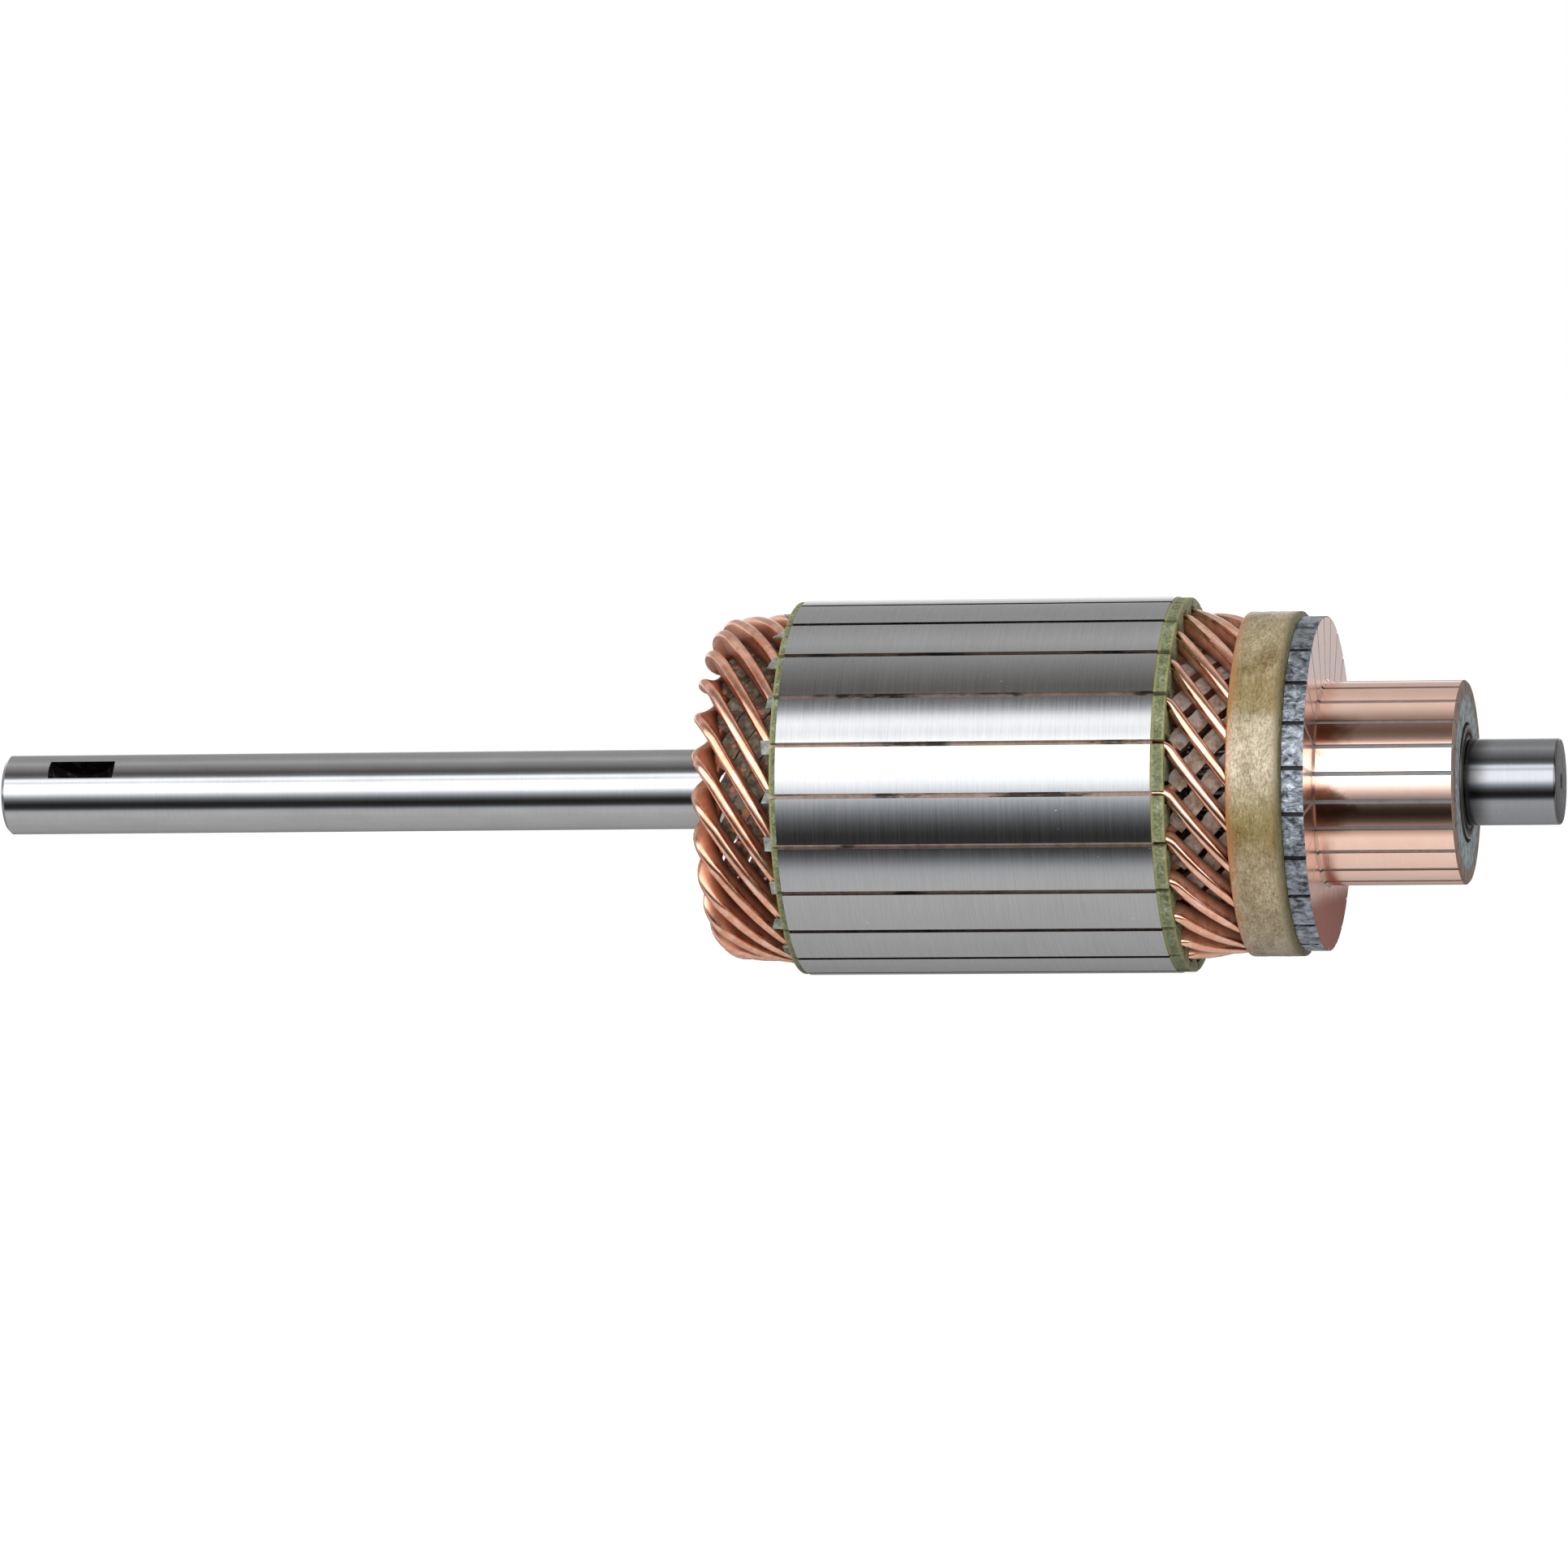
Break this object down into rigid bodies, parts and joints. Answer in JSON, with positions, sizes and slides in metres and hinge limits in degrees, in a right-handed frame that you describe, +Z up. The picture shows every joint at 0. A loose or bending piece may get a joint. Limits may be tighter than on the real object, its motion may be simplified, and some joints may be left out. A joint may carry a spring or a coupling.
{
  "type": "motor armature",
  "caption": "Wound rotor of a direct-current motor: slotted steel core with hairpin copper bars, a riser commutator and a long keyed shaft with a journal at each end.",
  "frame": {"origin": "on the shaft's axis, inside the drive journal, 60 mm from the shaft's drive end", "axes": "+X along the shaft towards the commutator end, +Z up with the shaft level, +Y away from the viewer of the picture"},
  "size_m": [0.2327, 0.055, 0.055],
  "materials": {
    "shaft_steel": "ground steel, bright, with a faint oil film",
    "core_steel": "turned laminations, fine streaks round the core",
    "fibre": "grey-green insulating fibre, matt",
    "liner_paper": "pale grey-blue slot paper",
    "layer_paper": "grey-brown insulating paper, varnished",
    "winding_copper": "drawn copper bar, lightly varnished",
    "commutator_copper": "turned copper, bright",
    "solder": "tinned, dull and mottled",
    "resin": "grey-blue moulded resin, satin",
    "bush_steel": "turned steel",
    "glass_tape": "wound glass tape set in amber varnish"
  },
  "bodies": {
    "root": {"shaft": "shaft_steel", "core_stack": "core_steel", "end_disc_drive": "fibre", "end_disc_commutator": "fibre", "slot_liners": "liner_paper", "layer_paper_drive": "layer_paper", "layer_paper_commutator": "layer_paper", "coil_01": "winding_copper", "coil_02": "winding_copper", "coil_03": "winding_copper", "coil_04": "winding_copper", "coil_05": "winding_copper", "coil_06": "winding_copper", "coil_07": "winding_copper", "coil_08": "winding_copper", "coil_09": "winding_copper", "coil_10": "winding_copper", "coil_11": "winding_copper", "coil_12": "winding_copper", "coil_13": "winding_copper", "coil_14": "winding_copper", "coil_15": "winding_copper", "coil_16": "winding_copper", "coil_17": "winding_copper", "coil_18": "winding_copper", "coil_19": "winding_copper", "coil_20": "winding_copper", "coil_21": "winding_copper", "coil_22": "winding_copper", "coil_23": "winding_copper", "commutator_bar_01": "commutator_copper", "commutator_bar_02": "commutator_copper", "commutator_bar_03": "commutator_copper", "commutator_bar_04": "commutator_copper", "commutator_bar_05": "commutator_copper", "commutator_bar_06": "commutator_copper", "commutator_bar_07": "commutator_copper", "commutator_bar_08": "commutator_copper", "commutator_bar_09": "commutator_copper", "commutator_bar_10": "commutator_copper", "commutator_bar_11": "commutator_copper", "commutator_bar_12": "commutator_copper", "commutator_bar_13": "commutator_copper", "commutator_bar_14": "commutator_copper", "commutator_bar_15": "commutator_copper", "commutator_bar_16": "commutator_copper", "commutator_bar_17": "commutator_copper", "commutator_bar_18": "commutator_copper", "commutator_bar_19": "commutator_copper", "commutator_bar_20": "commutator_copper", "commutator_bar_21": "commutator_copper", "commutator_bar_22": "commutator_copper", "commutator_bar_23": "commutator_copper", "riser_solder": "solder", "commutator_moulding": "resin", "commutator_bush": "bush_steel", "binding_band": "glass_tape"}
  },
  "joints": []
}
